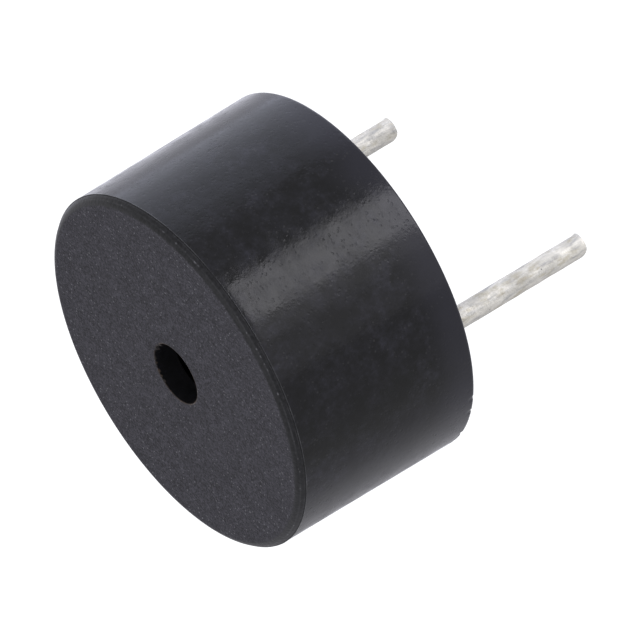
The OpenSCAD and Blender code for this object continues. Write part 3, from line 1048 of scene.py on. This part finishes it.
# On every metal
tarnishSpots = dict(spacing=0.35, share=0.1, radius=0.05)
wireLook = {
    "pitch": 0.09,
    "colour": (0.52, 0.17, 0.05, 1),
    # painted shade in the gaps between turns
    "gap": (0.11, 0.03, 0.012, 1),
    "rough": (0.2, 0.32),
}
boardLook = {
    "weave": 0.32,              # mm between strands
    "colour": (0.27, 0.185, 0.075, 1),
    "strand": (0.38, 0.28, 0.14, 1),
    "speck": (0.10, 0.06, 0.03, 1),
    "specks": dict(spacing=0.4, share=0.1, radius=0.06),
    "rough": (0.3, 0.45),
    "gloss": 0.45,
    "relief": 0.004,            # mm
}


# Evenly repeated ridges along a value, from 0 to 1
def ridges(tree, value, spacing):
    turns = times(tree, value, 2 * math.pi / spacing)
    return rescale(tree, mathNode(tree, "SINE", turns), -1, 1)


# Metal whose sheet or turned skin has gone cloudy with tarnish
def makeMetal(name, look):
    material, tree, shader, position = startMaterial(name, Metallic=1.0)
    relief = grain(tree, position, size=look["grainSize"])
    if look["ringSpacing"]:
        radius = addGroup(tree, placeGroup, {"Position": position})["Radius"]
        turned = ridges(tree, radius, look["ringSpacing"])
        relief = rescale(tree, plus(tree, relief, turned), 0, 2)
    patchy = clouds(tree, position, size=0.8)
    clouded = times(tree, patchy, look["share"])
    skin = mixColours(tree, clouded, look["colour"], look["tarnish"])
    spotted = mixColours(tree, dots(tree, position, **tarnishSpots), skin, look["tarnish"])
    finishMaterial(tree, shader, spotted, between(tree, patchy, *look["rough"]), relief, look["depth"])
    return material


# Moulded or pressed material with flow marks and specks
def makeMoulded(name, look):
    material, tree, shader, position = startMaterial(name, Specular_IOR_Level=look["specular"])
    patchy = clouds(tree, position, size=0.9)
    skin = mixColours(tree, patchy, look["colour"], look["marks"])
    spotted = mixColours(tree, dots(tree, position, 0.3, look["spotShare"], 0.05), skin, look["spots"])
    relief = grain(tree, position, size=look["grainSize"])
    finishMaterial(tree, shader, spotted, between(tree, relief, *look["rough"]), relief, look["depth"])
    return material


# Turns of enamelled wire, one above the other, with painted shade in the gaps between them
def makeWoundWire(look):
    enamel = {"Metallic": 1.0, "Coat_Weight": 0.5, "Coat_Roughness": 0.15}
    material, tree, shader, position = startMaterial("woundWire", **enamel)
    height = addGroup(tree, placeGroup, {"Position": position})["Height"]
    slack = times(tree, clouds(tree, position, size=1.4), look["pitch"])
    turns = ridges(tree, plus(tree, height, slack), look["pitch"])
    proud = mathNode(tree, "POWER", turns, 0.5)
    # Painted shade: darker colour in the gaps between turns
    colour = mixColours(tree, proud, look["gap"], look["colour"])
    rough = between(tree, clouds(tree, position, size=0.5), *look["rough"])
    finishMaterial(tree, shader, colour, rough, proud, look["pitch"] / 4)
    return material


# Resin-bonded board with its strands showing through
def makeLaminate(look):
    material, tree, shader, position = startMaterial("boardLaminate", Specular_IOR_Level=look["gloss"])
    parts = addNode(tree, "ShaderNodeSeparateXYZ", {0: position}).outputs
    warp = ridges(tree, parts[0], look["weave"])
    weft = ridges(tree, parts[1], look["weave"])
    woven = times(tree, warp, weft)
    patchy = clouds(tree, position, size=0.7)
    shown = times(tree, woven, between(tree, patchy, 0.35, 0.9))
    skin = mixColours(tree, shown, look["colour"], look["strand"])
    spotted = mixColours(tree, dots(tree, position, **look["specks"]), skin, look["speck"])
    finishMaterial(tree, shader, spotted, between(tree, patchy, *look["rough"]), woven, look["relief"])
    return material


def finishCadNodes():
    finishes = {slot: makeMetal(slot, look) for slot, look in metalLooks.items()}
    finishes.update({slot: makeMoulded(slot, look) for slot, look in mouldedLooks.items()})
    finishes["enamelled_copper"] = makeWoundWire(wireLook)
    finishes["board_laminate"] = makeLaminate(boardLook)
    finishes["potting_resin"] = pottingResin
    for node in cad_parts.values():
        for holder in node.material_slots:
            slot = holder.material.name.split(".")[0]
            holder.material = finishes[slot]
            print(node.name, "is", slot)


finishCadNodes()
